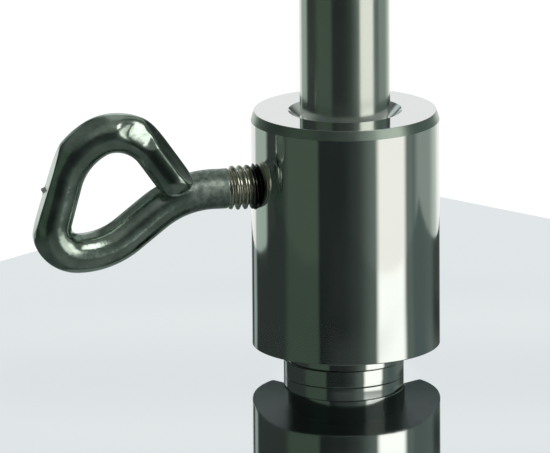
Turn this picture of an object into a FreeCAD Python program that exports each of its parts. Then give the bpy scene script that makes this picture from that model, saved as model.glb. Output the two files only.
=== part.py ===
import FreeCAD, Part
import math
import os

from FreeCAD import Vector

# A stand base with a clamping socket: a polished steel plate on four rubber feet, a turned
# socket bolted to its middle from below, a round rod standing in the socket, and an eye screw
# that is bent from one bar and clamps the rod. Millimetres, +Z up. The origin is on the
# surface that the feet stand on, under the middle of the plate, on the rod's axis.

# Base plate, with its long side along Y
PLATE_X = 152.5
PLATE_Y = 164.5
PLATE_T = 3.0
PLATE_CORNER_R = 3.0
PLATE_EDGE = 0.3
PLATE_HOLE_D = 9.0

# Rubber feet, glued under the corners
FOOT_D = 16.0
FOOT_TREAD_D = 13.0
FOOT_H = 8.0
FOOT_ROUND = 0.8
FOOT_INSET = 14.0

# Hexagon screw and washer that hold the socket from below
BOLT_D = 8.0
BOLT_LENGTH = 16.0
BOLT_TIP = 1.0
BOLT_HEAD_AF = 13.0
BOLT_HEAD_H = 5.3
BOLT_HEAD_FACE_D = 12.3
BOLT_HEAD_BEVEL = math.radians(30)
BOLT_HEAD_SIDES = 6
WASHER_D = 16.0
WASHER_HOLE_D = 8.4
WASHER_T = 1.6
WASHER_EDGE = 0.2

# Spacer ring between plate and socket. It sits a little off centre on the screw.
SPACER_D = 16.0
SPACER_HOLE_D = 9.0
SPACER_T = 2.25
SPACER_EDGE = 0.15
SPACER_SHIFT = 0.35
SPACER_SHIFT_DIRECTION = math.radians(220.9)

# Socket: a turned sleeve with a short spigot below
SOCKET_D = 25.0
SOCKET_H = 31.75
SOCKET_TOP_BEVEL = 0.4
SOCKET_TOP_BEVEL_H = 1.3
SOCKET_FOOT_EDGE = 0.1
SPIGOT_D = 15.6
SPIGOT_H = 2.1
SPIGOT_EDGE = 0.15
MOUTH_CHAMFER = 1.5
BORE_FLOOR_T = 1.9

# Rod
ROD_D = 12.0
ROD_LENGTH = 150.0
ROD_END_CHAMFER = 0.8
ROD_MARK_W = 0.7
ROD_MARK_DEPTH = 0.25
ROD_MARK_BELOW_MOUTH = 0.3

# Eye screw: distances along it are counted from the socket's wall outwards
EYE_THREAD_D = 6.0
EYE_BELOW_TOP = 9.65
EYE_DIRECTION = math.radians(234.9)
EYE_THREAD_OUT = 3.9
EYE_TIP_CHAMFER = 0.8
EYE_BAR_D = 5.3
EYE_LAP_GAP = 0.35
EYE_SHANK_DROP = 0.85

# Corners of the bar's centre line: distance from the socket's wall, rise above the screw's
# axis, lean to the side as a share of the whole overlap, and bend radius. The last point is
# the centre of the rounded free end.
EYE_CORNERS = [
    (4.6, 0.0, 0.0, 20.0),
    (9.95, 0.16, 0.0, 13.3),
    (20.35, -7.5, 0.1, 10.5),
    (28.8, -7.0, 0.22, 3.9),
    (25.35, 6.3, 0.4, 9.3),
    (20.9, 9.0, 0.5, 5.3),
    (16.1, 9.25, 0.65, 6.25),
]
EYE_END = (11.8, 3.05, 1.0)

# The eye's outer leg and its free leg are pressed flat on their outer side: the flat's distance
# from the leg's centre line at the leg's first and last corner, and its turn out of the eye's
# plane to the side of the overlap.
EYE_OUTER_LEG_FLAT = (2.2, 1.7, math.radians(-7))
EYE_FREE_LEG_FLAT = (1.6, 1.5, math.radians(21))

# Clearances
ROD_CLEARANCE = 0.05
THREAD_CLEARANCE = 0.05
TIP_CLEARANCE = 0.05
BOLT_TIP_CLEARANCE = 1.9

# Levels and radii that follow from the sizes above
plate_bottom = FOOT_H
plate_top = plate_bottom + PLATE_T
spigot_bottom = plate_top + SPACER_T
socket_bottom = spigot_bottom + SPIGOT_H
socket_top = socket_bottom + SOCKET_H
washer_bottom = plate_bottom - WASHER_T
bolt_top = washer_bottom + BOLT_LENGTH
tapped_top = bolt_top + BOLT_TIP_CLEARANCE
bore_bottom = tapped_top + BORE_FLOOR_T
eye_height = socket_top - EYE_BELOW_TOP
socket_r = SOCKET_D / 2
rod_r = ROD_D / 2
bore_r = rod_r + ROD_CLEARANCE
bar_r = EYE_BAR_D / 2


def turned(profile):
    """A solid turned about the Z axis from a closed outline of (radius, height) points."""
    points = [Vector(r, 0, z) for r, z in profile]
    outline = Part.makePolygon(points + points[:1])
    return Part.Face(outline).revolve(Vector(0, 0, 0), Vector(0, 0, 1), 360)


def ring(outer_r, inner_r, low, high, edge):
    """A flat ring with its outer edges broken."""
    return turned(
        [
            (inner_r, low),
            (outer_r - edge, low),
            (outer_r, low + edge),
            (outer_r, high - edge),
            (outer_r - edge, high),
            (inner_r, high),
        ]
    )


def along_eye(shape):
    """Turns a shape that was built along +X to where the eye screw points."""
    shape.rotate(Vector(0, 0, 0), Vector(0, 0, 1), math.degrees(EYE_DIRECTION))
    shape.translate(Vector(0, 0, eye_height))
    return shape


def rounded_path(start, corners, end):
    """A wire of straight runs with a tangent arc at each (point, radius) corner."""
    points = [start] + [point for point, radius in corners] + [end]
    edges = []
    here = start
    for (corner, radius), after in zip(corners, points[2:]):
        into = (corner - here).normalize()
        out_of = (after - corner).normalize()
        half_turn = into.getAngle(out_of) / 2
        room = 0.98 * min(corner.distanceToPoint(here), corner.distanceToPoint(after))
        tangent = min(radius * math.tan(half_turn), room)
        arc_r = tangent / math.tan(half_turn)
        arc_start = corner - into * tangent
        arc_end = corner + out_of * tangent
        to_centre = (out_of - into).normalize()
        arc_middle = corner + to_centre * (arc_r / math.cos(half_turn) - arc_r)
        edges.append(Part.LineSegment(here, arc_start).toShape())
        edges.append(Part.Arc(arc_start, arc_middle, arc_end).toShape())
        here = arc_end
    edges.append(Part.LineSegment(here, end).toShape())
    return Part.Wire(edges)


def base_plate():
    plate = Part.makeBox(PLATE_X, PLATE_Y, PLATE_T, Vector(-PLATE_X / 2, -PLATE_Y / 2, plate_bottom))
    upright = [e for e in plate.Edges if abs(e.tangentAt(e.FirstParameter).z) > 0.5]
    plate = plate.makeFillet(PLATE_CORNER_R, upright)
    rim = [e for e in plate.Edges if e.BoundBox.ZLength < 1e-6]
    plate = plate.makeChamfer(PLATE_EDGE, rim)
    hole = Part.makeCylinder(PLATE_HOLE_D / 2, PLATE_T, Vector(0, 0, plate_bottom))
    return plate.cut(hole)


def foot(side_x, side_y):
    pad = turned(
        [
            (0, 0),
            (FOOT_TREAD_D / 2, 0),
            (FOOT_D / 2, FOOT_H),
            (0, FOOT_H),
        ]
    )
    tread = [e for e in pad.Edges if e.BoundBox.ZMax < FOOT_H / 2 and e.BoundBox.XLength > FOOT_D / 2]
    pad = pad.makeFillet(FOOT_ROUND, tread)
    pad.translate(Vector(side_x * (PLATE_X / 2 - FOOT_INSET), side_y * (PLATE_Y / 2 - FOOT_INSET), 0))
    return pad


def fixing_washer():
    return ring(WASHER_D / 2, WASHER_HOLE_D / 2, washer_bottom, plate_bottom, WASHER_EDGE)


def fixing_screw():
    head_bottom = washer_bottom - BOLT_HEAD_H
    turn = 2 * math.pi / BOLT_HEAD_SIDES
    head_r = BOLT_HEAD_AF / 2 / math.cos(turn / 2)
    corners = [
        Vector(head_r * math.cos(turn * k), head_r * math.sin(turn * k), head_bottom)
        for k in range(BOLT_HEAD_SIDES)
    ]
    head = Part.Face(Part.makePolygon(corners + corners[:1])).extrude(Vector(0, 0, BOLT_HEAD_H))
    flat_r = BOLT_HEAD_FACE_D / 2
    bevel_h = (head_r - flat_r) * math.tan(BOLT_HEAD_BEVEL)
    envelope = turned(
        [
            (0, head_bottom),
            (flat_r, head_bottom),
            (head_r, head_bottom + bevel_h),
            (head_r, washer_bottom),
            (0, washer_bottom),
        ]
    )
    shank = turned(
        [
            (0, washer_bottom),
            (BOLT_D / 2, washer_bottom),
            (BOLT_D / 2, bolt_top - BOLT_TIP),
            (BOLT_D / 2 - BOLT_TIP, bolt_top),
            (0, bolt_top),
        ]
    )
    return head.common(envelope).fuse(shank).removeSplitter()


def spacer_ring():
    body = ring(SPACER_D / 2, SPACER_HOLE_D / 2, plate_top, spigot_bottom, SPACER_EDGE)
    shift_x = SPACER_SHIFT * math.cos(SPACER_SHIFT_DIRECTION)
    shift_y = SPACER_SHIFT * math.sin(SPACER_SHIFT_DIRECTION)
    body.translate(Vector(shift_x, shift_y, 0))
    return body


def socket():
    tapped_r = BOLT_D / 2 + THREAD_CLEARANCE
    body = turned(
        [
            (0, tapped_top),
            (tapped_r, tapped_top),
            (tapped_r, spigot_bottom),
            (SPIGOT_D / 2 - SPIGOT_EDGE, spigot_bottom),
            (SPIGOT_D / 2, spigot_bottom + SPIGOT_EDGE),
            (SPIGOT_D / 2, socket_bottom),
            (socket_r - SOCKET_FOOT_EDGE, socket_bottom),
            (socket_r, socket_bottom + SOCKET_FOOT_EDGE),
            (socket_r, socket_top - SOCKET_TOP_BEVEL_H),
            (socket_r - SOCKET_TOP_BEVEL, socket_top),
            (bore_r + MOUTH_CHAMFER, socket_top),
            (bore_r, socket_top - MOUTH_CHAMFER),
            (bore_r, bore_bottom),
            (0, bore_bottom),
        ]
    )
    cross_hole = Part.makeCylinder(
        EYE_THREAD_D / 2 + THREAD_CLEARANCE, socket_r, Vector(0, 0, 0), Vector(1, 0, 0)
    )
    return body.cut(along_eye(cross_hole))


def rod():
    top = bore_bottom + ROD_LENGTH
    mark_top = socket_top - ROD_MARK_BELOW_MOUTH
    mark_bottom = mark_top - ROD_MARK_W
    return turned(
        [
            (0, bore_bottom),
            (rod_r - ROD_END_CHAMFER, bore_bottom),
            (rod_r, bore_bottom + ROD_END_CHAMFER),
            (rod_r, mark_bottom),
            (rod_r - ROD_MARK_DEPTH, mark_bottom),
            (rod_r - ROD_MARK_DEPTH, mark_top),
            (rod_r, mark_top),
            (rod_r, top - ROD_END_CHAMFER),
            (rod_r - ROD_END_CHAMFER, top),
            (0, top),
        ]
    )


def pressed_away(near, far, near_distance, far_distance, turn):
    """What a flat takes off the outer side of the eye's leg between two corners."""
    along = (far - near).normalize()
    outward = Vector(0, 1, 0).cross(along).normalize()
    outward = outward * math.cos(turn) + along.cross(outward) * math.sin(turn)
    sideways = along.cross(outward)
    half_w = math.sqrt(bar_r**2 - min(near_distance, far_distance, bar_r) ** 2)
    ends = [near - along * half_w + outward * near_distance, far + along * half_w + outward * far_distance]
    corners = [
        ends[0] - sideways * half_w,
        ends[1] - sideways * half_w,
        ends[1] + sideways * half_w,
        ends[0] + sideways * half_w,
    ]
    return Part.Face(Part.makePolygon(corners + corners[:1])).extrude(outward * bar_r)


def eye_screw():
    tip = rod_r + TIP_CLEARANCE
    thread_r = EYE_THREAD_D / 2
    thread_end = socket_r + EYE_THREAD_OUT
    run_out = thread_r - bar_r
    screw = turned(
        [
            (0, tip),
            (thread_r - EYE_TIP_CHAMFER, tip),
            (thread_r, tip + EYE_TIP_CHAMFER),
            (thread_r, thread_end - run_out),
            (bar_r, thread_end),
            (0, thread_end),
        ]
    )
    screw.rotate(Vector(0, 0, 0), Vector(0, 1, 0), 90)

    end_out, end_rise, end_lean = EYE_END
    overlap = math.sqrt((EYE_BAR_D + EYE_LAP_GAP) ** 2 - (end_rise + EYE_SHANK_DROP) ** 2)
    start = Vector(tip + EYE_THREAD_D, 0, 0)
    corners = [
        (Vector(socket_r + out, lean * overlap, rise), bend_r) for out, rise, lean, bend_r in EYE_CORNERS
    ]
    end = Vector(socket_r + end_out, end_lean * overlap, end_rise)
    section = Part.Wire(Part.makeCircle(bar_r, start, Vector(1, 0, 0)))
    bar = rounded_path(start, corners, end).makePipeShell([section], True, True)
    free_end = Part.makeSphere(bar_r, end)
    eye = screw.fuse([bar, free_end]).removeSplitter()
    points = [corner for corner, bend_r in corners] + [end]
    outer_leg = points[-5:-3]
    free_leg = points[-2:]
    for leg, flat in ((outer_leg, EYE_OUTER_LEG_FLAT), (free_leg, EYE_FREE_LEG_FLAT)):
        eye = eye.cut(pressed_away(*leg, *flat))
    return along_eye(eye)


sub_parts = {
    "base_plate": base_plate(),
    "foot_front_left": foot(-1, -1),
    "foot_front_right": foot(1, -1),
    "foot_back_left": foot(-1, 1),
    "foot_back_right": foot(1, 1),
    "fixing_washer": fixing_washer(),
    "fixing_screw": fixing_screw(),
    "spacer_ring": spacer_ring(),
    "socket": socket(),
    "rod": rod(),
    "eye_screw": eye_screw(),
}

os.makedirs("parts", exist_ok=True)
for name, shape in sub_parts.items():
    shape.exportStep("parts/" + name + ".step")
    print(name, shape.ShapeType, len(shape.Solids), "valid", shape.isValid(), round(shape.Volume, 2))
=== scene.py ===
import math

import bmesh
import bpy
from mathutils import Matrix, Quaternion, Vector


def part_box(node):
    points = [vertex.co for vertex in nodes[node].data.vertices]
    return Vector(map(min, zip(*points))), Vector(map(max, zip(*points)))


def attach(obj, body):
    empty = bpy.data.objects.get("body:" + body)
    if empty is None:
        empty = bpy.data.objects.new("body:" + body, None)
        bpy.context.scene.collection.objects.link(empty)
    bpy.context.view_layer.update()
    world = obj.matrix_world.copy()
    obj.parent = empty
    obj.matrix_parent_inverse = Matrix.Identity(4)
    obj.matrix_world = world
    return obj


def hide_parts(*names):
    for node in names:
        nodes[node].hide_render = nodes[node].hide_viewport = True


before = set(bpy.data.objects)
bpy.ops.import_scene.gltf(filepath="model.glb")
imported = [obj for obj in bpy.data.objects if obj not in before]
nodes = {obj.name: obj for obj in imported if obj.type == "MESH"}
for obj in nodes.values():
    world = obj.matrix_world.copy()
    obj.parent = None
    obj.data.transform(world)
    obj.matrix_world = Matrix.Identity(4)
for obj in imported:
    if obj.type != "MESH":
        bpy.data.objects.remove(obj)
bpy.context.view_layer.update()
MM = 0.001


# Base plate: 3 mm stainless sheet, sheared square and polished to a mirror. Its drilled middle
# is a little wavy where the socket is screwed down. It rests on four glued rubber feet.
PLATE_COLOUR = (0.672, 0.711, 0.717)
PLATE_SMEAR = (0.018, 0.05)
PLATE_EDGE_ROUGHNESS = 0.32
PLATE_EDGE_UP = (0.5, 0.9)
PLATE_WAVE_DIRECTION = math.radians(130.9)
PLATE_WAVE_TILT = math.radians(1.1)
PLATE_WAVE_SWING = math.radians(2.4)
PLATE_WAVE_HALF_LENGTH = 30 * MM
PLATE_WAVE_START = 2 * MM
PLATE_SEAT_R = (8.8 * MM, 10.5 * MM)
PLATE_FLAT_R = (40 * MM, 60 * MM)


def finish(name, colour, roughness, metallic=1.0):
    """A material with one Principled shader. Returns the material, its tree and the shader."""
    material = bpy.data.materials.new(name)
    material.use_nodes = True
    shader = material.node_tree.nodes["Principled BSDF"]
    shader.inputs["Base Color"].default_value = (*colour, 1.0)
    shader.inputs["Roughness"].default_value = roughness
    shader.inputs["Metallic"].default_value = metallic
    return material, material.node_tree, shader


def add(tree, kind, settings=None, **inputs):
    """A node of that kind. Settings are its properties, and inputs its sockets: values or links."""
    made = tree.nodes.new(kind)
    for key, value in (settings or {}).items():
        setattr(made, key, value)
    for key, value in inputs.items():
        plug(tree, made.inputs[key.replace("_", " ")], value)
    return made


def plug(tree, socket, value):
    """Links a socket, or sets its own value."""
    if isinstance(value, bpy.types.NodeSocket):
        tree.links.new(value, socket)
    else:
        socket.default_value = value


def calc(tree, operation, *values):
    """The result of one Math node."""
    made = add(tree, "ShaderNodeMath", {"operation": operation})
    for socket, value in zip(made.inputs, values):
        plug(tree, socket, value)
    return made.outputs["Value"]


def vector_calc(tree, operation, *values):
    """The result of one Vector Math node, a number where it measures and a vector elsewhere."""
    made = add(tree, "ShaderNodeVectorMath", {"operation": operation})
    for socket, value in zip(made.inputs, values):
        plug(tree, socket, value)
    measures = operation in ("LENGTH", "DISTANCE", "DOT_PRODUCT")
    return made.outputs["Value" if measures else "Vector"]


def remap(tree, value, low, high, to_low=0.0, to_high=1.0, smooth=False):
    """A value carried from one range to another and held at its ends."""
    made = add(
        tree,
        "ShaderNodeMapRange",
        {"interpolation_type": "SMOOTHSTEP" if smooth else "LINEAR"},
        Value=value,
        From_Min=low,
        From_Max=high,
        To_Min=to_low,
        To_Max=to_high,
    )
    return made.outputs["Result"]


def blended(tree, share, a, b):
    """One colour laid over another by a share. Both may be plain colours or sockets."""
    mixed = add(tree, "ShaderNodeMix", {"data_type": "RGBA"})
    plug(tree, mixed.inputs["Factor"], share)
    for key, colour in (("A", a), ("B", b)):
        plain = not isinstance(colour, bpy.types.NodeSocket)
        plug(tree, mixed.inputs[key], (*colour, 1.0) if plain else colour)
    return mixed.outputs["Result"]


def mirror_plate_steel():
    material, tree, shader = finish("mirror_plate_steel", PLATE_COLOUR, PLATE_SMEAR[0])
    place = add(tree, "ShaderNodeTexCoord").outputs["Object"]

    along = add(tree, "ShaderNodeMapping", {"vector_type": "TEXTURE"}, Vector=place)
    along.inputs["Rotation"].default_value[2] = PLATE_WAVE_DIRECTION
    forward = add(tree, "ShaderNodeSeparateXYZ", Vector=along.outputs["Vector"]).outputs["X"]
    from_start = calc(tree, "ADD", forward, PLATE_WAVE_START)
    phase = calc(tree, "MULTIPLY", from_start, math.pi / PLATE_WAVE_HALF_LENGTH)
    slope = calc(tree, "MULTIPLY_ADD", calc(tree, "COSINE", phase), PLATE_WAVE_SWING, PLATE_WAVE_TILT)
    reach = vector_calc(tree, "LENGTH", vector_calc(tree, "MULTIPLY", place, (1, 1, 0)))
    inner = remap(tree, reach, *PLATE_SEAT_R, smooth=True)
    outer = remap(tree, reach, *PLATE_FLAT_R, 1.0, 0.0, smooth=True)
    slope = calc(tree, "MULTIPLY", calc(tree, "MULTIPLY", slope, inner), outer)
    lean = add(
        tree,
        "ShaderNodeCombineXYZ",
        X=calc(tree, "MULTIPLY", slope, -math.cos(PLATE_WAVE_DIRECTION)),
        Y=calc(tree, "MULTIPLY", slope, -math.sin(PLATE_WAVE_DIRECTION)),
    )
    facing = add(tree, "ShaderNodeNewGeometry").outputs["Normal"]
    leaning = vector_calc(tree, "ADD", facing, lean.outputs["Vector"])

    rub = add(tree, "ShaderNodeTexNoise", Vector=place, Scale=26.0, Detail=5.0, Roughness=0.62)
    smear = remap(tree, rub.outputs["Fac"], 0.35, 0.75, *PLATE_SMEAR)
    up = add(tree, "ShaderNodeSeparateXYZ", Vector=facing).outputs["Z"]
    sheared = remap(tree, calc(tree, "ABSOLUTE", up), *PLATE_EDGE_UP, PLATE_EDGE_ROUGHNESS, 0.0)
    plug(tree, shader.inputs["Roughness"], calc(tree, "MAXIMUM", smear, sheared))

    swirl = add(tree, "ShaderNodeTexNoise", Vector=place, Scale=900.0, Detail=3.0, Roughness=0.5)
    bump = add(tree, "ShaderNodeBump", Strength=0.04, Distance=0.02 * MM, Height=swirl.outputs["Fac"])
    plug(tree, bump.inputs["Normal"], leaning)
    plug(tree, shader.inputs["Normal"], bump.outputs["Normal"])
    return material


nodes["base_plate"].material_slots[0].material = mirror_plate_steel()


# Rubber feet: moulded black rubber, tapered, glued under the plate's corners, with a fine grain
# and some grey dust.
RUBBER_CLEAN = (0.024, 0.024, 0.026)
RUBBER_DUSTY = (0.075, 0.075, 0.078)
RUBBER_DUST_SHARE = 0.35
RUBBER_ROUGHNESS = (0.5, 0.75)


def foot_rubber():
    material, tree, shader = finish("foot_rubber", RUBBER_CLEAN, RUBBER_ROUGHNESS[0], 0.0)
    place = add(tree, "ShaderNodeTexCoord").outputs["Object"]
    dust = add(tree, "ShaderNodeTexNoise", Vector=place, Scale=420.0, Detail=6.0, Roughness=0.6)
    dusty = remap(tree, dust.outputs["Fac"], 0.45, 0.75, 0.0, RUBBER_DUST_SHARE)
    plug(tree, shader.inputs["Base Color"], blended(tree, dusty, RUBBER_CLEAN, RUBBER_DUSTY))
    plug(tree, shader.inputs["Roughness"], remap(tree, dust.outputs["Fac"], 0.3, 0.7, *RUBBER_ROUGHNESS))
    grain = add(tree, "ShaderNodeTexNoise", Vector=place, Scale=2600.0, Detail=3.0)
    bump = add(tree, "ShaderNodeBump", Strength=0.35, Distance=0.05 * MM, Height=grain.outputs["Fac"])
    plug(tree, shader.inputs["Normal"], bump.outputs["Normal"])
    return material


rubber = foot_rubber()
for end in ("front", "back"):
    for side in ("left", "right"):
        nodes["foot_" + end + "_" + side].material_slots[0].material = rubber


# Fixing screw and washer: zinc-plated M8 hexagon screw with a flat washer, from below through
# the plate and the spacer ring into the socket.
ZINC_BRIGHT = (0.64, 0.65, 0.67)
ZINC_WORN = (0.55, 0.55, 0.53)
ZINC_ROUGHNESS = (0.24, 0.42)


def zinc_plate():
    material, tree, shader = finish("zinc_plate", ZINC_BRIGHT, ZINC_ROUGHNESS[0])
    place = add(tree, "ShaderNodeTexCoord").outputs["Object"]
    cloud = add(tree, "ShaderNodeTexNoise", Vector=place, Scale=300.0, Detail=5.0)
    cloudy = remap(tree, cloud.outputs["Fac"], 0.35, 0.7)
    plug(tree, shader.inputs["Base Color"], blended(tree, cloudy, ZINC_BRIGHT, ZINC_WORN))
    plug(tree, shader.inputs["Roughness"], remap(tree, cloud.outputs["Fac"], 0.3, 0.7, *ZINC_ROUGHNESS))
    bump = add(tree, "ShaderNodeBump", Strength=0.2, Distance=0.03 * MM, Height=cloud.outputs["Fac"])
    plug(tree, shader.inputs["Normal"], bump.outputs["Normal"])
    return material


zinc = zinc_plate()
nodes["fixing_screw"].material_slots[0].material = zinc
nodes["fixing_washer"].material_slots[0].material = zinc


# Spacer ring: parted off from 16 mm bright bar, with both rims lightly broken. It sits a third
# of a millimetre off centre, between the plate and the socket, and shares the socket's steel.
RING_HOLE_R = 4.5 * MM
RING_EDGE = 0.12 * MM
AROUND = 256
ARC_STEPS = 5
HOLD = 0.04 * MM
SHARP_FROM = math.radians(30)
BRIGHT_STEEL = (0.66, 0.68, 0.66)
BRIGHT_ROUGHNESS = (0.05, 0.1)
QUARTER_TURN = 0.25
TURNING_ANISOTROPY = 0.6
TURNING_LINES = 2600.0
TURNING_SQUEEZE = 40.0
TURNING_DEPTH = 0.0006 * MM

# Turned steel has painted shade underneath and on a steep bevel, and a painted highlight in a
# countersink. Each is told by how far its surface faces up, from -1 to 1.
UP_TOLERANCE = 0.08
UNDERSIDE_UP = -0.9
UNDERSIDE_PAINTED_SHADE = (0.075, 0.1, 0.09)
UNDERSIDE_ROUGHNESS = 0.45
BEVEL_UP = 0.294
BEVEL_PAINTED_SHADE = (0.33, 0.4, 0.35)
BEVEL_ROUGHNESS = 0.3
MOUTH_UP = 0.707
MOUTH_PAINTED_HIGHLIGHT = (0.97, 0.98, 0.98)
MOUTH_ROUGHNESS = 0.16


def rounded_outline(corners):
    """Points of a closed outline of (radius, height, edge radius) corners, an arc at each edge.

    A holding point on both sides of an arc keeps the long faces beside it shaded flat.
    """
    points = []
    for k, (r, z, edge) in enumerate(corners):
        here = Vector((r, z))
        before = Vector(corners[k - 1][:2])
        after = Vector(corners[(k + 1) % len(corners)][:2])
        if edge == 0:
            points.append(here)
            continue
        into = (here - before).normalized()
        out_of = (after - here).normalized()
        turn = into.angle_signed(out_of)
        tangent = abs(edge * math.tan(turn / 2))
        points.append(here - into * (tangent + HOLD))
        side = Vector((-into.y, into.x)) * (1 if into.cross(out_of) > 0 else -1)
        centre = here - into * tangent + side * edge
        for step in range(ARC_STEPS + 1):
            share = abs(turn) * step / ARC_STEPS
            points.append(centre - side * edge * math.cos(share) + into * edge * math.sin(share))
        points.append(here + out_of * (tangent + HOLD))
    return points


def placed(name, data):
    """A new object in the scene with the given mesh, curve or camera."""
    made = bpy.data.objects.new(name, data)
    bpy.context.scene.collection.objects.link(made)
    return made


def turned(name, corners, centre=(0.0, 0.0)):
    """A mesh turned about an upright axis from a closed outline that runs anticlockwise."""
    form = bmesh.new()
    rings = []
    turns = [2 * math.pi * k / AROUND for k in range(AROUND)]
    for r, z in rounded_outline(corners):
        if r == 0:
            rings.append([form.verts.new((*centre, z))] * AROUND)
            continue
        circle = [(centre[0] + r * math.cos(t), centre[1] + r * math.sin(t), z) for t in turns]
        rings.append([form.verts.new(point) for point in circle])
    for k in range(len(rings)):
        low, high = rings[k - 1], rings[k]
        for j in range(AROUND):
            face = [low[j - 1], low[j], high[j], high[j - 1]]
            face = [v for n, v in enumerate(face) if v not in face[:n]]
            if len(face) > 2:
                form.faces.new(face).smooth = True
    mesh = bpy.data.meshes.new(name)
    form.to_mesh(mesh)
    form.free()
    mesh.set_sharp_from_angle(angle=SHARP_FROM)
    return placed(name, mesh)


def turned_steel(name, colour, roughness):
    """Turned steel: fine lines round the axis, light rubbing, painted shade on its underside and bevel,
    and a painted highlight in its countersink.
    """
    material, tree, shader = finish(name, colour, roughness[0])
    place = add(tree, "ShaderNodeTexCoord").outputs["Object"]
    shader.inputs["Anisotropic"].default_value = TURNING_ANISOTROPY
    shader.inputs["Anisotropic Rotation"].default_value = QUARTER_TURN
    round_axis = add(tree, "ShaderNodeTangent", {"direction_type": "RADIAL", "axis": "Z"})
    plug(tree, shader.inputs["Tangent"], round_axis.outputs["Tangent"])

    rub = add(tree, "ShaderNodeTexNoise", Vector=place, Scale=120.0, Detail=6.0, Roughness=0.65)
    facing = add(tree, "ShaderNodeNewGeometry").outputs["Normal"]
    up = add(tree, "ShaderNodeSeparateXYZ", Vector=facing).outputs["Z"]
    # Painted shade: faces that look down get a dark base colour.
    below = calc(tree, "LESS_THAN", up, UNDERSIDE_UP)
    # Painted highlight: the countersink gets a near-white base colour.
    in_mouth = calc(tree, "COMPARE", up, MOUTH_UP, UP_TOLERANCE)
    steel_with_painted_light = blended(tree, in_mouth, colour, MOUTH_PAINTED_HIGHLIGHT)
    # Painted shade: the steep bevel gets a dim grey-green base colour.
    on_bevel = calc(tree, "COMPARE", up, BEVEL_UP, UP_TOLERANCE)
    steel_with_painted_light = blended(tree, on_bevel, steel_with_painted_light, BEVEL_PAINTED_SHADE)
    plug(tree, shader.inputs["Base Color"], blended(tree, below, steel_with_painted_light, UNDERSIDE_PAINTED_SHADE))
    rubbed = remap(tree, rub.outputs["Fac"], 0.3, 0.75, *roughness)
    duller = [(below, UNDERSIDE_ROUGHNESS), (in_mouth, MOUTH_ROUGHNESS), (on_bevel, BEVEL_ROUGHNESS)]
    for share, least in duller:
        rubbed = calc(tree, "MAXIMUM", rubbed, calc(tree, "MULTIPLY", share, least))
    plug(tree, shader.inputs["Roughness"], rubbed)

    squeezed = add(tree, "ShaderNodeMapping", Vector=place)
    squeezed.inputs["Scale"].default_value = (1.0, 1.0, TURNING_SQUEEZE)
    lines = add(
        tree,
        "ShaderNodeTexNoise",
        Vector=squeezed.outputs["Vector"],
        Scale=TURNING_LINES / TURNING_SQUEEZE,
        Detail=4.0,
    )
    bump = add(tree, "ShaderNodeBump", Strength=1.0, Distance=TURNING_DEPTH, Height=lines.outputs["Fac"])
    plug(tree, shader.inputs["Normal"], bump.outputs["Normal"])
    return material


def spacer_ring():
    low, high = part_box("spacer_ring")
    centre = (low + high) / 2
    outer_r = (high.x - low.x) / 2
    corners = [
        (RING_HOLE_R, low.z, 0),
        (outer_r, low.z, RING_EDGE),
        (outer_r, high.z, RING_EDGE),
        (RING_HOLE_R, high.z, 0),
    ]
    return turned("spacer_ring_turned", corners, centre=centre[:2])


socket_steel = turned_steel("socket_steel", BRIGHT_STEEL, BRIGHT_ROUGHNESS)
ring = spacer_ring()
ring.data.materials.append(socket_steel)
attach(ring, "base")
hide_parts("spacer_ring")


# Socket: turned from 25 mm bright bar, bored for the rod, countersunk, with a steep bevel at the
# top, a short spigot below, and a tapped cross hole for the eye screw.
SOCKET_BEVEL = 0.4 * MM
SOCKET_BEVEL_H = 1.3 * MM
SOCKET_FOOT_EDGE = 0.1 * MM
SPIGOT_R = 7.8 * MM
SPIGOT_H = 2.1 * MM
BORE_R = 6.05 * MM
MOUTH_CHAMFER = 1.5 * MM
TAPPED_R = 4.05 * MM
TAPPED_H = 11.05 * MM
BORE_FLOOR_T = 1.9 * MM
EYE_HEIGHT = 37.45 * MM
EYE_DIRECTION = math.radians(234.9)
CROSS_HOLE_R = 3.05 * MM
CROSS_HOLE_SIDES = 96
FINE_EDGE = 0.05 * MM


def socket_body():
    low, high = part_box("socket")
    r = (high.x - low.x) / 2
    foot = low.z + SPIGOT_H
    tapped_top = low.z + TAPPED_H
    bore_floor = tapped_top + BORE_FLOOR_T
    corners = [
        (0.0, tapped_top, 0),
        (TAPPED_R, tapped_top, 0),
        (TAPPED_R, low.z, 0),
        (SPIGOT_R, low.z, SOCKET_FOOT_EDGE),
        (SPIGOT_R, foot, 0),
        (r, foot, SOCKET_FOOT_EDGE),
        (r, high.z - SOCKET_BEVEL_H, FINE_EDGE),
        (r - SOCKET_BEVEL, high.z, FINE_EDGE),
        (BORE_R + MOUTH_CHAMFER, high.z, FINE_EDGE),
        (BORE_R, high.z - MOUTH_CHAMFER, FINE_EDGE),
        (BORE_R, bore_floor, 0),
        (0.0, bore_floor, 0),
    ]
    body = turned("socket_turned", corners)

    drill = bmesh.new()
    bmesh.ops.create_cone(
        drill,
        segments=CROSS_HOLE_SIDES,
        radius1=CROSS_HOLE_R,
        radius2=CROSS_HOLE_R,
        depth=2 * r,
        cap_ends=True,
    )
    tool_mesh = bpy.data.meshes.new("cross_drill")
    drill.to_mesh(tool_mesh)
    drill.free()
    tool = placed("cross_drill", tool_mesh)
    tool.rotation_euler = (0, math.pi / 2, EYE_DIRECTION)
    tool.location = (r * math.cos(EYE_DIRECTION), r * math.sin(EYE_DIRECTION), EYE_HEIGHT)
    cut = body.modifiers.new("cross_hole", "BOOLEAN")
    cut.operation = "DIFFERENCE"
    cut.object = tool
    cut.solver = "EXACT"
    bpy.context.view_layer.update()
    shaped = body.evaluated_get(bpy.context.evaluated_depsgraph_get())
    drilled = bpy.data.meshes.new_from_object(shaped)
    body.modifiers.clear()
    body.data = drilled
    drilled.set_sharp_from_angle(angle=SHARP_FROM)
    bpy.data.objects.remove(tool)
    return body


socket = socket_body()
socket.data.materials.clear()
socket.data.materials.append(socket_steel)
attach(socket, "base")
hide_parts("socket")


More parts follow.
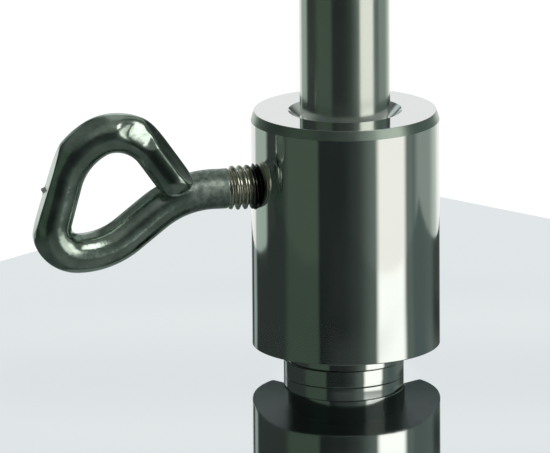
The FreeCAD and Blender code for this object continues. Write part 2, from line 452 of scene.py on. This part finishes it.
# Rod: 12 mm ground and polished bar with chamfered ends and a fine turned depth mark just below
# the socket's mouth. It stands on the floor of the bore.
ROD_CHAMFER = 0.8 * MM
ROD_MARK_TOP = 20.6 * MM
ROD_MARK_W = 0.7 * MM
ROD_MARK_DEPTH = 0.25 * MM
ROD_COLOUR = (0.56, 0.6, 0.56)
ROD_ROUGHNESS = (0.16, 0.24)


def rod_bar():
    low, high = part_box("rod")
    r = (high.x - low.x) / 2
    mark_top = low.z + ROD_MARK_TOP
    mark_low = mark_top - ROD_MARK_W
    corners = [
        (0.0, low.z, 0),
        (r - ROD_CHAMFER, low.z, FINE_EDGE),
        (r, low.z + ROD_CHAMFER, FINE_EDGE),
        (r, mark_low, 0),
        (r - ROD_MARK_DEPTH, mark_low, 0),
        (r - ROD_MARK_DEPTH, mark_top, 0),
        (r, mark_top, 0),
        (r, high.z - ROD_CHAMFER, FINE_EDGE),
        (r - ROD_CHAMFER, high.z, FINE_EDGE),
        (0.0, high.z, 0),
    ]
    return turned("rod_ground", corners)


rod = rod_bar()
rod.data.materials.append(turned_steel("rod_steel", ROD_COLOUR, ROD_ROUGHNESS))
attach(rod, "rod")
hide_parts("rod")


# Eye screw: one 5.3 mm steel bar. Its straight end has a rolled M6 thread, and the rest is bent
# cold to a three-cornered eye whose domed end lies beside the shank. The bending tool has
# pressed two legs and the top bend flat on their outer side, and left a small burr on one leg.
BAR_R = 2.65 * MM
LAP_GAP = 0.35 * MM
SHANK_DROP = 0.85 * MM
THREAD_R = 2.94 * MM
THREAD_ROOT_R = 2.38 * MM
THREAD_PITCH = 1.0 * MM
THREAD_OUT = 3.9 * MM
THREAD_RUN_OUT = 0.9 * MM
THREAD_TIP = 0.8 * MM
SCREW_TIP = 6.05 * MM
SOCKET_WALL = 12.5 * MM
MERGE_WITHIN = 0.1e-6

# The flank rises from root to crest between these shares of a pitch.
THREAD_FLANK = (0.07, 0.44)

# Corners of the bar's centre line: distance from the socket's wall, rise above the screw's axis,
# lean towards the viewer as a share of the lap, and bend radius. The free end's centre is last.
EYE_CORNERS = [
    (4.6, 0.0, 0.0, 20.0),
    (9.95, 0.16, 0.0, 13.3),
    (20.35, -7.5, 0.1, 10.5),
    (28.8, -7.0, 0.22, 3.9),
    (25.35, 6.3, 0.4, 9.3),
    (20.9, 9.0, 0.5, 5.3),
    (16.1, 9.25, 0.65, 6.25),
]
EYE_END = (11.8, 3.05, 1.0)

# A leg's flat: its distances from the centre line at both ends of the leg, in millimetres, and
# its turn about the leg. The top bend's flat, the dent, faces a heading and a height.
OUTER_LEG_FLAT = (2.2, 1.7, math.radians(-7))
FREE_LEG_FLAT = (1.6, 1.5, math.radians(21))
FREE_LEG_REACH = 10 * MM
FLAT_EDGE = 0.15 * MM
DENT_MIDDLE = (29.1 * MM, 8.2 * MM, 2.45 * MM)
DENT_FACING = (math.radians(-33.1), math.radians(25))
DENT_DISTANCE = 2.46 * MM
DENT_REACH = (1.4 * MM, 3.3 * MM)
DENT_EDGE = 0.3 * MM
BURR_DOWN = 5.7 * MM
BURR_BACK = 1.35 * MM
BURR_R = 0.55 * MM
BURR_H = 0.45 * MM

# The eye is polished and cloudy, its shank scuffed where it was gripped, its thread bright but
# given painted shade where it enters the socket, and its burr rough and painted pale as a highlight.
EYE_STEEL = ((0.32, 0.39, 0.34), (0.5, 0.58, 0.52))
EYE_ROUGHNESS = (0.07, 0.17)
EYE_TINT = (0.8, 0.84, 0.82, 1.0)
SHANK_COLOUR = (0.2, 0.25, 0.23)
SHANK_ROUGHNESS = 0.42
SHANK_MATT_TO = (20.5 * MM, 23.5 * MM)
THREAD_COLOUR = (0.62, 0.62, 0.53)
THREAD_ROUGHNESS = 0.18
THREAD_PAINTED_SHADE_SPAN = (12.9 * MM, 13.9 * MM)
THREAD_PAINTED_SHADE = (0.02, 0.025, 0.02)
THREAD_PAINTED_SHADE_SHARE = 0.93
BURR_PAINTED_HIGHLIGHT = (0.85, 0.87, 0.87)
BURR_ROUGHNESS = 0.7
BURR_HIGHLIGHT_TO = 1.6 * BURR_R


def eye_point(out, rise, lean):
    """A point of the eye in the shared frame, from its place on the screw, all in metres."""
    x = out * math.cos(EYE_DIRECTION) - lean * math.sin(EYE_DIRECTION)
    y = out * math.sin(EYE_DIRECTION) + lean * math.cos(EYE_DIRECTION)
    return Vector((x, y, EYE_HEIGHT + rise))


def eye_points():
    """The corners of the bar's centre line with their bend radii, from the screw's tip on."""
    end_out, end_rise, end_lean = EYE_END
    lap = math.sqrt((2 * BAR_R + LAP_GAP) ** 2 - (end_rise * MM + SHANK_DROP) ** 2)
    points = [(eye_point(SCREW_TIP, 0.0, 0.0), 0.0)]
    for out, rise, lean, bend in EYE_CORNERS:
        points.append((eye_point(SOCKET_WALL + out * MM, rise * MM, lean * lap), bend * MM))
    points.append((eye_point(SOCKET_WALL + end_out * MM, end_rise * MM, end_lean * lap), 0.0))
    return points


def eye_path():
    """The bar's centre line as one straight-run spline. Each point's radius is its bend radius."""
    line = bpy.data.curves.new("eye_path", "CURVE")
    line.dimensions = "3D"
    spline = line.splines.new("POLY")
    corners = eye_points()
    spline.points.add(len(corners) - 1)
    for place, (point, bend) in zip(spline.points, corners):
        place.co = (*point, 1.0)
        place.radius = bend
    return line


def pressed_flat(near, far, near_distance, far_distance, turn):
    """A point on a leg's flat and the direction that the flat faces."""
    lean = Vector((-math.sin(EYE_DIRECTION), math.cos(EYE_DIRECTION), 0.0))
    run = far - near
    outward = lean.cross(run).normalized()
    outward = outward * math.cos(turn) + run.normalized().cross(outward) * math.sin(turn)
    slant = (far_distance - near_distance) * MM / run.length
    return near + outward * near_distance * MM, (outward - run.normalized() * slant).normalized()


def moved(tree, place, direction, distance):
    """A place moved along a direction."""
    return vector_calc(tree, "MULTIPLY_ADD", direction, distance, place)


def threaded_bar_tree():
    """Geometry Nodes: a round bar along a path, threaded at its start and domed at its end.

    Each flat pushes in what stands proud of it, less near its edge, and the burr swells from one.
    """
    tree = bpy.data.node_groups.new("threaded_bar", "GeometryNodeTree")
    inputs = [
        ("Path", "NodeSocketGeometry"),
        ("Bar radius", "NodeSocketFloat"),
        ("Crest radius", "NodeSocketFloat"),
        ("Root radius", "NodeSocketFloat"),
        ("Pitch", "NodeSocketFloat"),
        ("Thread length", "NodeSocketFloat"),
        ("Run-out", "NodeSocketFloat"),
        ("Tip chamfer", "NodeSocketFloat"),
        ("Rings", "NodeSocketInt"),
        ("Sides", "NodeSocketInt"),
        ("Thread share", "NodeSocketFloat"),
        ("Dome share", "NodeSocketFloat"),
        ("Bend steps", "NodeSocketInt"),
        ("Outer flat place", "NodeSocketVector"),
        ("Outer flat facing", "NodeSocketVector"),
        ("Free flat place", "NodeSocketVector"),
        ("Free flat facing", "NodeSocketVector"),
        ("Free leg reach", "NodeSocketFloat"),
        ("Dent flat place", "NodeSocketVector"),
        ("Dent flat facing", "NodeSocketVector"),
        ("Dent reach", "NodeSocketFloat"),
        ("Dent fade", "NodeSocketFloat"),
        ("Outer flat edge", "NodeSocketFloat"),
        ("Free flat edge", "NodeSocketFloat"),
        ("Dent flat edge", "NodeSocketFloat"),
        ("Burr place", "NodeSocketVector"),
        ("Burr radius", "NodeSocketFloat"),
        ("Burr height", "NodeSocketFloat"),
        ("Material", "NodeSocketMaterial"),
    ]
    for name, kind in inputs:
        tree.interface.new_socket(name=name, in_out="INPUT", socket_type=kind)
    tree.interface.new_socket(name="Bar", in_out="OUTPUT", socket_type="NodeSocketGeometry")
    given = tree.nodes.new("NodeGroupInput").outputs

    bends = add(tree, "GeometryNodeInputRadius").outputs["Radius"]
    path = add(
        tree,
        "GeometryNodeFilletCurve",
        {"mode": "POLY"},
        Curve=given["Path"],
        Count=given["Bend steps"],
        Radius=bends,
        Limit_Radius=True,
    ).outputs["Curve"]
    length = add(tree, "GeometryNodeCurveLength", Curve=path).outputs["Length"]

    grid = add(tree, "GeometryNodeMeshGrid", Vertices_X=given["Rings"], Vertices_Y=given["Sides"])
    share = add(tree, "ShaderNodeSeparateXYZ", Vector=grid.outputs["UV Map"]).outputs
    bar_from = given["Thread share"]
    dome_from = calc(tree, "SUBTRACT", 1.0, given["Dome share"])
    thread_length = given["Thread length"]
    bar_length = calc(tree, "SUBTRACT", length, thread_length)
    on_thread = remap(tree, share["X"], 0.0, bar_from, 0.0, thread_length)
    on_bar = remap(tree, share["X"], bar_from, dome_from, 0.0, bar_length)
    along = calc(tree, "ADD", on_thread, on_bar)
    over_dome = remap(tree, share["X"], dome_from, 1.0, 0.0, math.pi / 2)

    along_path = {"mode": "LENGTH", "use_all_curves": True}
    spot = add(tree, "GeometryNodeSampleCurve", along_path, Curves=path, Length=along).outputs
    beyond = calc(tree, "MULTIPLY", calc(tree, "SINE", over_dome), given["Bar radius"])
    centre = moved(tree, spot["Position"], spot["Tangent"], beyond)

    turns = calc(tree, "SUBTRACT", calc(tree, "DIVIDE", along, given["Pitch"]), share["Y"])
    ridge = remap(tree, calc(tree, "PINGPONG", turns, 0.5), *THREAD_FLANK, smooth=True)
    thread_r = remap(tree, ridge, 0.0, 1.0, given["Root radius"], given["Crest radius"])
    run_out_from = calc(tree, "SUBTRACT", thread_length, given["Run-out"])
    plain = remap(tree, along, run_out_from, thread_length)
    bar_r = calc(tree, "MULTIPLY", calc(tree, "COSINE", over_dome), given["Bar radius"])
    radius = remap(tree, plain, 0.0, 1.0, thread_r, bar_r)
    tip_r = calc(tree, "ADD", calc(tree, "SUBTRACT", given["Crest radius"], given["Tip chamfer"]), along)
    radius = calc(tree, "MINIMUM", radius, tip_r)
    radius = calc(tree, "MULTIPLY", radius, calc(tree, "GREATER_THAN", share["X"], 0.0))

    angle = calc(tree, "MULTIPLY", share["Y"], 2 * math.pi)
    across = vector_calc(tree, "CROSS_PRODUCT", spot["Tangent"], spot["Normal"])
    place = centre
    for direction, wave in ((spot["Normal"], "COSINE"), (across, "SINE")):
        place = moved(tree, place, direction, calc(tree, "MULTIPLY", calc(tree, wave, angle), radius))

    free_leg_from = calc(tree, "SUBTRACT", length, given["Free leg reach"])
    on_free_leg = calc(tree, "GREATER_THAN", along, free_leg_from)
    to_dent = vector_calc(tree, "DISTANCE", place, given["Dent flat place"])
    at_dent = remap(tree, to_dent, given["Dent reach"], given["Dent fade"], 1.0, 0.0, smooth=True)
    for flat, share_pressed in (("Outer", 1.0), ("Free", on_free_leg), ("Dent", at_dent)):
        facing = given[flat + " flat facing"]
        edge = given[flat + " flat edge"]
        proud = vector_calc(tree, "SUBTRACT", place, given[flat + " flat place"])
        height = vector_calc(tree, "DOT_PRODUCT", proud, facing)
        rounding = calc(tree, "MULTIPLY", edge, edge)
        soft_height = calc(tree, "SQRT", calc(tree, "MULTIPLY_ADD", height, height, rounding))
        pressed = calc(tree, "MULTIPLY", calc(tree, "ADD", height, soft_height), 0.5)
        pressed = calc(tree, "MULTIPLY", pressed, share_pressed)
        place = moved(tree, place, facing, calc(tree, "MULTIPLY", pressed, -1.0))
    to_burr = vector_calc(tree, "DISTANCE", place, given["Burr place"])
    swell = remap(tree, to_burr, 0.0, given["Burr radius"], given["Burr height"], 0.0, smooth=True)
    place = moved(tree, place, given["Outer flat facing"], swell)

    bar = add(tree, "GeometryNodeSetPosition", Geometry=grid.outputs["Mesh"], Position=place)
    for kind, inputs in (
        ("GeometryNodeMergeByDistance", {"Distance": MERGE_WITHIN}),
        ("GeometryNodeSetShadeSmooth", {}),
        ("GeometryNodeRealizeInstances", {}),
        ("GeometryNodeSetMaterial", {"Material": given["Material"]}),
    ):
        bar = add(tree, kind, Geometry=bar.outputs["Geometry"], **inputs)
    add(tree, "NodeGroupOutput", Bar=bar.outputs["Geometry"])
    return tree


def grown(name, seed, tree, values):
    """A plain mesh object from a Geometry Nodes tree on the given curve, its inputs set by name."""
    carrier = placed(name, seed)
    made_by = carrier.modifiers.new(tree.name, "NODES")
    made_by.node_group = tree
    for socket in tree.interface.items_tree:
        if socket.name in values:
            made_by[socket.identifier] = values[socket.name]
    bpy.context.view_layer.update()
    shaped = carrier.evaluated_get(bpy.context.evaluated_depsgraph_get())
    mesh = bpy.data.meshes.new_from_object(shaped)
    bpy.data.objects.remove(carrier)
    return placed(name, mesh)


def eye_steel(burr_place):
    material, tree, shader = finish("eye_steel", EYE_STEEL[0], EYE_ROUGHNESS[0])
    shader.inputs["Specular Tint"].default_value = EYE_TINT
    place = add(tree, "ShaderNodeTexCoord").outputs["Object"]
    cloud = add(tree, "ShaderNodeTexNoise", Vector=place, Scale=260.0, Detail=5.0, Roughness=0.6)
    along = add(tree, "ShaderNodeMapping", {"vector_type": "TEXTURE"}, Vector=place)
    along.inputs["Rotation"].default_value[2] = EYE_DIRECTION
    out = add(tree, "ShaderNodeSeparateXYZ", Vector=along.outputs["Vector"]).outputs["X"]
    on_thread = calc(tree, "LESS_THAN", out, SOCKET_WALL + THREAD_OUT)
    gripped = calc(tree, "SUBTRACT", remap(tree, out, *SHANK_MATT_TO, 1.0, 0.0, smooth=True), on_thread)
    speck = add(tree, "ShaderNodeTexNoise", Vector=place, Scale=1500.0, Detail=4.0, Roughness=0.6)
    scuffed = calc(tree, "MULTIPLY", gripped, remap(tree, speck.outputs["Fac"], 0.4, 0.62, 0.25, 1.0))
    cloudy = remap(tree, cloud.outputs["Fac"], 0.35, 0.65, smooth=True)
    to_burr = vector_calc(tree, "DISTANCE", place, burr_place)
    # Painted highlight: the burr and a narrow ring round it get a pale base colour.
    at_burr = remap(tree, to_burr, BURR_R, BURR_HIGHLIGHT_TO, 1.0, 0.0, smooth=True)
    steel = blended(tree, cloudy, *EYE_STEEL)
    steel = blended(tree, scuffed, steel, SHANK_COLOUR)
    steel = blended(tree, on_thread, steel, THREAD_COLOUR)
    # Painted shade on the thread where it enters the socket's cross hole.
    painted_shade_at_socket = remap(tree, out, *THREAD_PAINTED_SHADE_SPAN, THREAD_PAINTED_SHADE_SHARE, 0.0, smooth=True)
    steel = blended(tree, painted_shade_at_socket, steel, THREAD_PAINTED_SHADE)
    plug(tree, shader.inputs["Base Color"], blended(tree, at_burr, steel, BURR_PAINTED_HIGHLIGHT))
    rough = remap(tree, cloud.outputs["Fac"], 0.3, 0.75, *EYE_ROUGHNESS)
    duller = [(on_thread, THREAD_ROUGHNESS), (gripped, SHANK_ROUGHNESS), (at_burr, BURR_ROUGHNESS)]
    for share, least in duller:
        rough = calc(tree, "MAXIMUM", rough, calc(tree, "MULTIPLY", share, least))
    plug(tree, shader.inputs["Roughness"], rough)
    dents = add(tree, "ShaderNodeTexNoise", Vector=place, Scale=600.0, Detail=7.0, Roughness=0.68)
    bump = add(tree, "ShaderNodeBump", Strength=0.6, Distance=0.07 * MM, Height=dents.outputs["Fac"])
    plug(tree, shader.inputs["Normal"], bump.outputs["Normal"])
    return material


corner_places = [point for point, bend in eye_points()]
outer_leg = corner_places[-5:-3]
outer_place, outer_facing = pressed_flat(*outer_leg, *OUTER_LEG_FLAT)
free_place, free_facing = pressed_flat(*corner_places[-2:], *FREE_LEG_FLAT)
leg_down = (outer_leg[0] - outer_leg[1]).normalized()
burr_place = outer_leg[1] + leg_down * BURR_DOWN + leg_down.cross(outer_facing).normalized() * BURR_BACK
burr_place -= outer_facing * (burr_place - outer_place).dot(outer_facing)
turn, rise = DENT_FACING
dent_facing = Vector((math.cos(turn) * math.cos(rise), math.sin(turn) * math.cos(rise), math.sin(rise)))
dent_place = eye_point(*DENT_MIDDLE) + dent_facing * DENT_DISTANCE
eye_values = {
    "Bar radius": BAR_R,
    "Crest radius": THREAD_R,
    "Root radius": THREAD_ROOT_R,
    "Pitch": THREAD_PITCH,
    "Thread length": SOCKET_WALL + THREAD_OUT - SCREW_TIP,
    "Run-out": THREAD_RUN_OUT,
    "Tip chamfer": THREAD_TIP,
    "Rings": 960,
    "Sides": 97,
    "Thread share": 0.34,
    "Dome share": 0.025,
    "Bend steps": 32,
    "Outer flat place": outer_place,
    "Outer flat facing": outer_facing,
    "Free flat place": free_place,
    "Free flat facing": free_facing,
    "Free leg reach": FREE_LEG_REACH,
    "Dent flat place": dent_place,
    "Dent flat facing": dent_facing,
    "Dent reach": DENT_REACH[0],
    "Dent fade": DENT_REACH[1],
    "Outer flat edge": FLAT_EDGE,
    "Free flat edge": FLAT_EDGE,
    "Dent flat edge": DENT_EDGE,
    "Burr place": burr_place,
    "Burr radius": BURR_R,
    "Burr height": BURR_H,
    "Material": eye_steel(burr_place),
}
eye = grown("eye_screw_bent", eye_path(), threaded_bar_tree(), eye_values)
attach(eye, "eye_screw")
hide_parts("eye_screw")


# Studio: a plain white floor and backdrop, a soft lamp on the right of the camera, dim walls in
# front, and a camera with a long lens a little above the plate.
VIEW_AZIMUTH = math.radians(40.9)
VIEW_ELEVATION = math.radians(14.2)
VIEW_DISTANCE = 1500 * MM
VIEW_ROLL = math.radians(0.4)
VIEW_AIM = (-7.08 * MM, -6.13 * MM, 31.2 * MM)
VIEW_LENS = 740.3
VIEW_CLIP = (0.05, 100.0)
WHITE = (1.0, 1.0, 1.0, 1.0)
FLOOR_SIZE = 60.0
FLOOR_COLOUR = (0.8, 0.8, 0.8)
FLOOR_ROUGHNESS = 0.9
FLOOR_LIFT = 0.25

# The studio round the object, by direction from it. Each panel has the direction of its middle,
# to the right of the camera, its half width and the softness of its left and right edges, its
# low and high edge and their softness, all in degrees, and its tone. The high lamp shows in
# metal seen directly, and not in metal that other metal mirrors.
ROOM_TONE = (0.045, 0.055, 0.05)
PANELS = {
    "front_left_wall": (-56, 22, 6, 3, -90, 35, 8, (0.075, 0.108, 0.08)),
    "behind_camera": (-14, 19, 2, 10, -90, 26, 7, (0.02, 0.026, 0.025)),
    "beside_lamp": (62.5, 37.5, 14, 8, -90, 30, 8, (0.18, 0.22, 0.2)),
    "right_wall": (112, 22, 4, 8, -90, 24, 8, (0.13, 0.17, 0.16)),
    "table_left": (-128, 15, 4, 4, -90, -2, 3, (0.43, 0.52, 0.46)),
    "table_side": (130, 34, 6, 6, -90, -2, 3, (0.31, 0.36, 0.33)),
    "table_right": (148, 17, 9, 6, -90, -2, 3, (0.56, 0.65, 0.58)),
    "ceiling": (0, 200, 1, 1, 30, 95, 10, (0.12, 0.14, 0.13)),
    "ceiling_front": (30, 50, 15, 15, 25, 95, 15, (0.2, 0.22, 0.2)),
    "ceiling_right_back": (140, 25, 12, 12, 20, 95, 9, (0.34, 0.37, 0.34)),
    "ceiling_back": (180, 16, 3, 3, -90, 95, 4, (0.36, 0.38, 0.36)),
    "back_left_strip": (-148, 6, 4, 4, -5, 26, 5, (0.46, 0.54, 0.52)),
    "backdrop": (180, 9, 2, 2, -90, 36, 5, (1.0, 1.01, 1.02)),
    "table_back": (182, 35, 9, 4, -90, -2, 3, (1.05, 1.05, 1.05)),
    "low_lamp": (58.6, 19.4, 4, 4, -90, 20, 3, (1.25, 1.22, 1.15)),
    "low_lamp_middle": (58, 18, 4, 4, 3, 17.5, 3, (1.95, 1.92, 1.82)),
    "backdrop_foot": (180, 20, 2, 2, -7, 7, 2, (0.95, 0.97, 0.98)),
}
HIGH_LAMP = (34, 13, 3, 3, 31, 56, 2, (2.6, 2.55, 2.45))
MIRRORED_ONCE = 1.5


def with_panel(tree, room, around, rise, panel, shown=1.0):
    """The room with one panel in front of what was there."""
    middle, half, left_soft, right_soft, low, high, rise_soft, tone = panel
    away = calc(tree, "WRAP", calc(tree, "SUBTRACT", around, middle), 180, -180)
    share = remap(tree, away, -half - left_soft, -half + left_soft, smooth=True)
    edges = [
        remap(tree, away, half - right_soft, half + right_soft, 1.0, 0.0, smooth=True),
        remap(tree, rise, low - rise_soft, low + rise_soft, smooth=True),
        remap(tree, rise, high - rise_soft, high + rise_soft, 1.0, 0.0, smooth=True),
    ]
    for edge in (*edges, shown):
        share = calc(tree, "MULTIPLY", share, edge)
    return blended(tree, share, room, tone)


def by_metal(tree, plain, mirrored):
    """One shader for what the camera and matt surfaces see, another for what metal mirrors."""
    light_path = add(tree, "ShaderNodeLightPath").outputs
    seen_in_metal = calc(tree, "MAXIMUM", light_path["Is Glossy Ray"], light_path["Is Transmission Ray"])
    whole = add(tree, "ShaderNodeMixShader", Fac=seen_in_metal)
    plug(tree, whole.inputs[1], plain)
    plug(tree, whole.inputs[2], mirrored)
    return whole.outputs["Shader"]


def studio_world():
    world = bpy.data.worlds.new("studio")
    bpy.context.scene.world = world
    world.use_nodes = True
    tree = world.node_tree
    tree.nodes.clear()
    towards = add(tree, "ShaderNodeTexCoord").outputs["Generated"]
    turned_view = add(tree, "ShaderNodeVectorRotate", {"rotation_type": "Z_AXIS"}, Vector=towards)
    turned_view.inputs["Angle"].default_value = math.pi / 2 - VIEW_AZIMUTH
    part = add(tree, "ShaderNodeSeparateXYZ", Vector=turned_view.outputs["Vector"]).outputs
    around = calc(tree, "DEGREES", calc(tree, "ARCTAN2", part["Y"], part["X"]))
    rise = calc(tree, "DEGREES", calc(tree, "ARCSINE", part["Z"]))
    room = add(tree, "ShaderNodeRGB").outputs["Color"]
    room.default_value = (*ROOM_TONE, 1.0)
    for panel in PANELS.values():
        room = with_panel(tree, room, around, rise, panel)
    light_path = add(tree, "ShaderNodeLightPath").outputs
    mirrored_once = calc(tree, "LESS_THAN", light_path["Glossy Depth"], MIRRORED_ONCE)
    room = with_panel(tree, room, around, rise, HIGH_LAMP, mirrored_once)
    white = add(tree, "ShaderNodeBackground", Color=WHITE)
    reflected = add(tree, "ShaderNodeBackground", Color=room)
    seen = by_metal(tree, white.outputs["Background"], reflected.outputs["Background"])
    add(tree, "ShaderNodeOutputWorld", Surface=seen)


def floor_paper():
    """Matt white that keeps the object's shadow. Metal sees the room's panels past it."""
    material, tree, shader = finish("floor_paper", FLOOR_COLOUR, FLOOR_ROUGHNESS, 0.0)
    shader.inputs["Specular IOR Level"].default_value = 0.0
    shader.inputs["Emission Color"].default_value = WHITE
    on_camera = add(tree, "ShaderNodeLightPath").outputs["Is Camera Ray"]
    plug(tree, shader.inputs["Emission Strength"], calc(tree, "MULTIPLY", on_camera, FLOOR_LIFT))
    clear = add(tree, "ShaderNodeBsdfTransparent").outputs["BSDF"]
    seen = by_metal(tree, shader.outputs["BSDF"], clear)
    plug(tree, tree.nodes["Material Output"].inputs["Surface"], seen)
    return material


def studio_floor():
    half = FLOOR_SIZE / 2
    corners = [(-half, -half, 0), (half, -half, 0), (half, half, 0), (-half, half, 0)]
    mesh = bpy.data.meshes.new("floor")
    mesh.from_pydata(corners, [], [(0, 1, 2, 3)])
    floor = placed("floor", mesh)
    mesh.materials.append(floor_paper())


def studio_camera():
    lens = bpy.data.cameras.new("camera")
    lens.lens = VIEW_LENS
    lens.clip_start, lens.clip_end = VIEW_CLIP
    camera = placed("camera", lens)
    level = math.cos(VIEW_ELEVATION)
    x = math.sin(VIEW_AZIMUTH) * level
    y = -math.cos(VIEW_AZIMUTH) * level
    back = Vector((x, y, math.sin(VIEW_ELEVATION)))
    camera.location = Vector(VIEW_AIM) + back * VIEW_DISTANCE
    camera.rotation_mode = "QUATERNION"
    camera.rotation_quaternion = Quaternion(back, -VIEW_ROLL) @ (-back).to_track_quat("-Z", "Y")
    bpy.context.scene.camera = camera


studio_world()
studio_floor()
studio_camera()
bpy.context.scene.view_settings.view_transform = "Standard"
